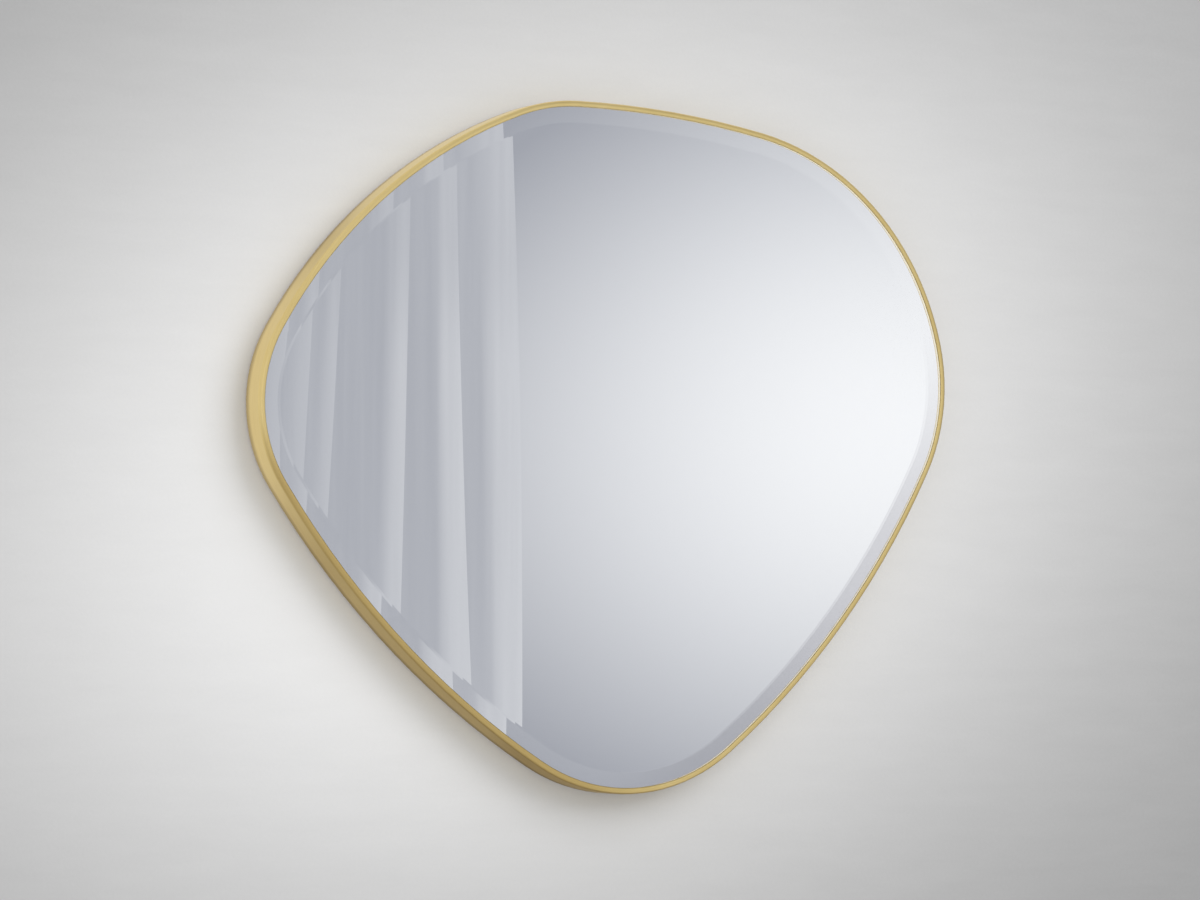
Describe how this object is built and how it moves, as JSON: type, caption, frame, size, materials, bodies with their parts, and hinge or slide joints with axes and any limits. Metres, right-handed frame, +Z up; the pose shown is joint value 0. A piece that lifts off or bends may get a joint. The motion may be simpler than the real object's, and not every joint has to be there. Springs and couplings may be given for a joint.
{
  "type": "irregular wall mirror",
  "caption": "Pebble-shaped wall mirror: bevelled glass in a deep brushed-gold metal frame, with board, battens and swinging D-ring hangers behind.",
  "frame": {"origin": "on the wall's surface, behind the middle of the outline's width and height; the mirror's centre of gravity is 8 mm right of it and 26 mm above it", "axes": "+Y into the wall (the mirror looks towards -Y), +X to the right seen from the front, +Z up"},
  "size_m": [0.8733, 0.038, 0.771],
  "materials": {
    "brushed_gold": "brushed, lacquered",
    "galvanised_steel": "galvanised",
    "glass": "polished, bevelled",
    "silvering": "silvered, grey paint on its back",
    "foam": "matte foam",
    "fibreboard": "bare fibreboard",
    "plywood": "sanded birch plywood",
    "rubber": "matte",
    "nickelled_steel": "nickel plated",
    "zinc_screw": "bright zinc"
  },
  "bodies": {
    "mirror": {"backing_board": "fibreboard", "batten_screws": "zinc_screw", "bracket_screws": "zinc_screw", "buffer_screws": "zinc_screw", "edge_spacers": "rubber", "foam_tapes": "foam", "frame": "brushed_gold", "frame_bracket_1": "galvanised_steel", "frame_bracket_2": "galvanised_steel", "frame_bracket_3": "galvanised_steel", "frame_bracket_4": "galvanised_steel", "frame_bracket_5": "galvanised_steel", "frame_bracket_6": "galvanised_steel", "frame_bracket_7": "galvanised_steel", "frame_bracket_8": "galvanised_steel", "frame_joint_plate": "galvanised_steel", "hanger_screws": "zinc_screw", "hanger_strap_left": "nickelled_steel", "hanger_strap_right": "nickelled_steel", "lower_batten": "plywood", "mirror_glass": "glass", "setting_blocks": "rubber", "silvering": "silvering", "upper_batten": "plywood", "wall_buffer_lower_left": "rubber", "wall_buffer_lower_right": "rubber", "wall_buffer_upper_left": "rubber", "wall_buffer_upper_right": "rubber"},
    "ring_left": {"hanger_ring_left": "nickelled_steel"},
    "ring_right": {"hanger_ring_right": "nickelled_steel"}
  },
  "joints": [
    {"name": "ring_left_swing", "type": "hinge", "parent": "mirror", "child": "ring_left", "pos_m": [-0.17164, -0.009, 0.176], "axis": [1, 0, 0], "range_deg": [0, 180]},
    {"name": "ring_right_swing", "type": "hinge", "parent": "mirror", "child": "ring_right", "pos_m": [0.18835, -0.009, 0.176], "axis": [1, 0, 0], "range_deg": [0, 180]}
  ]
}
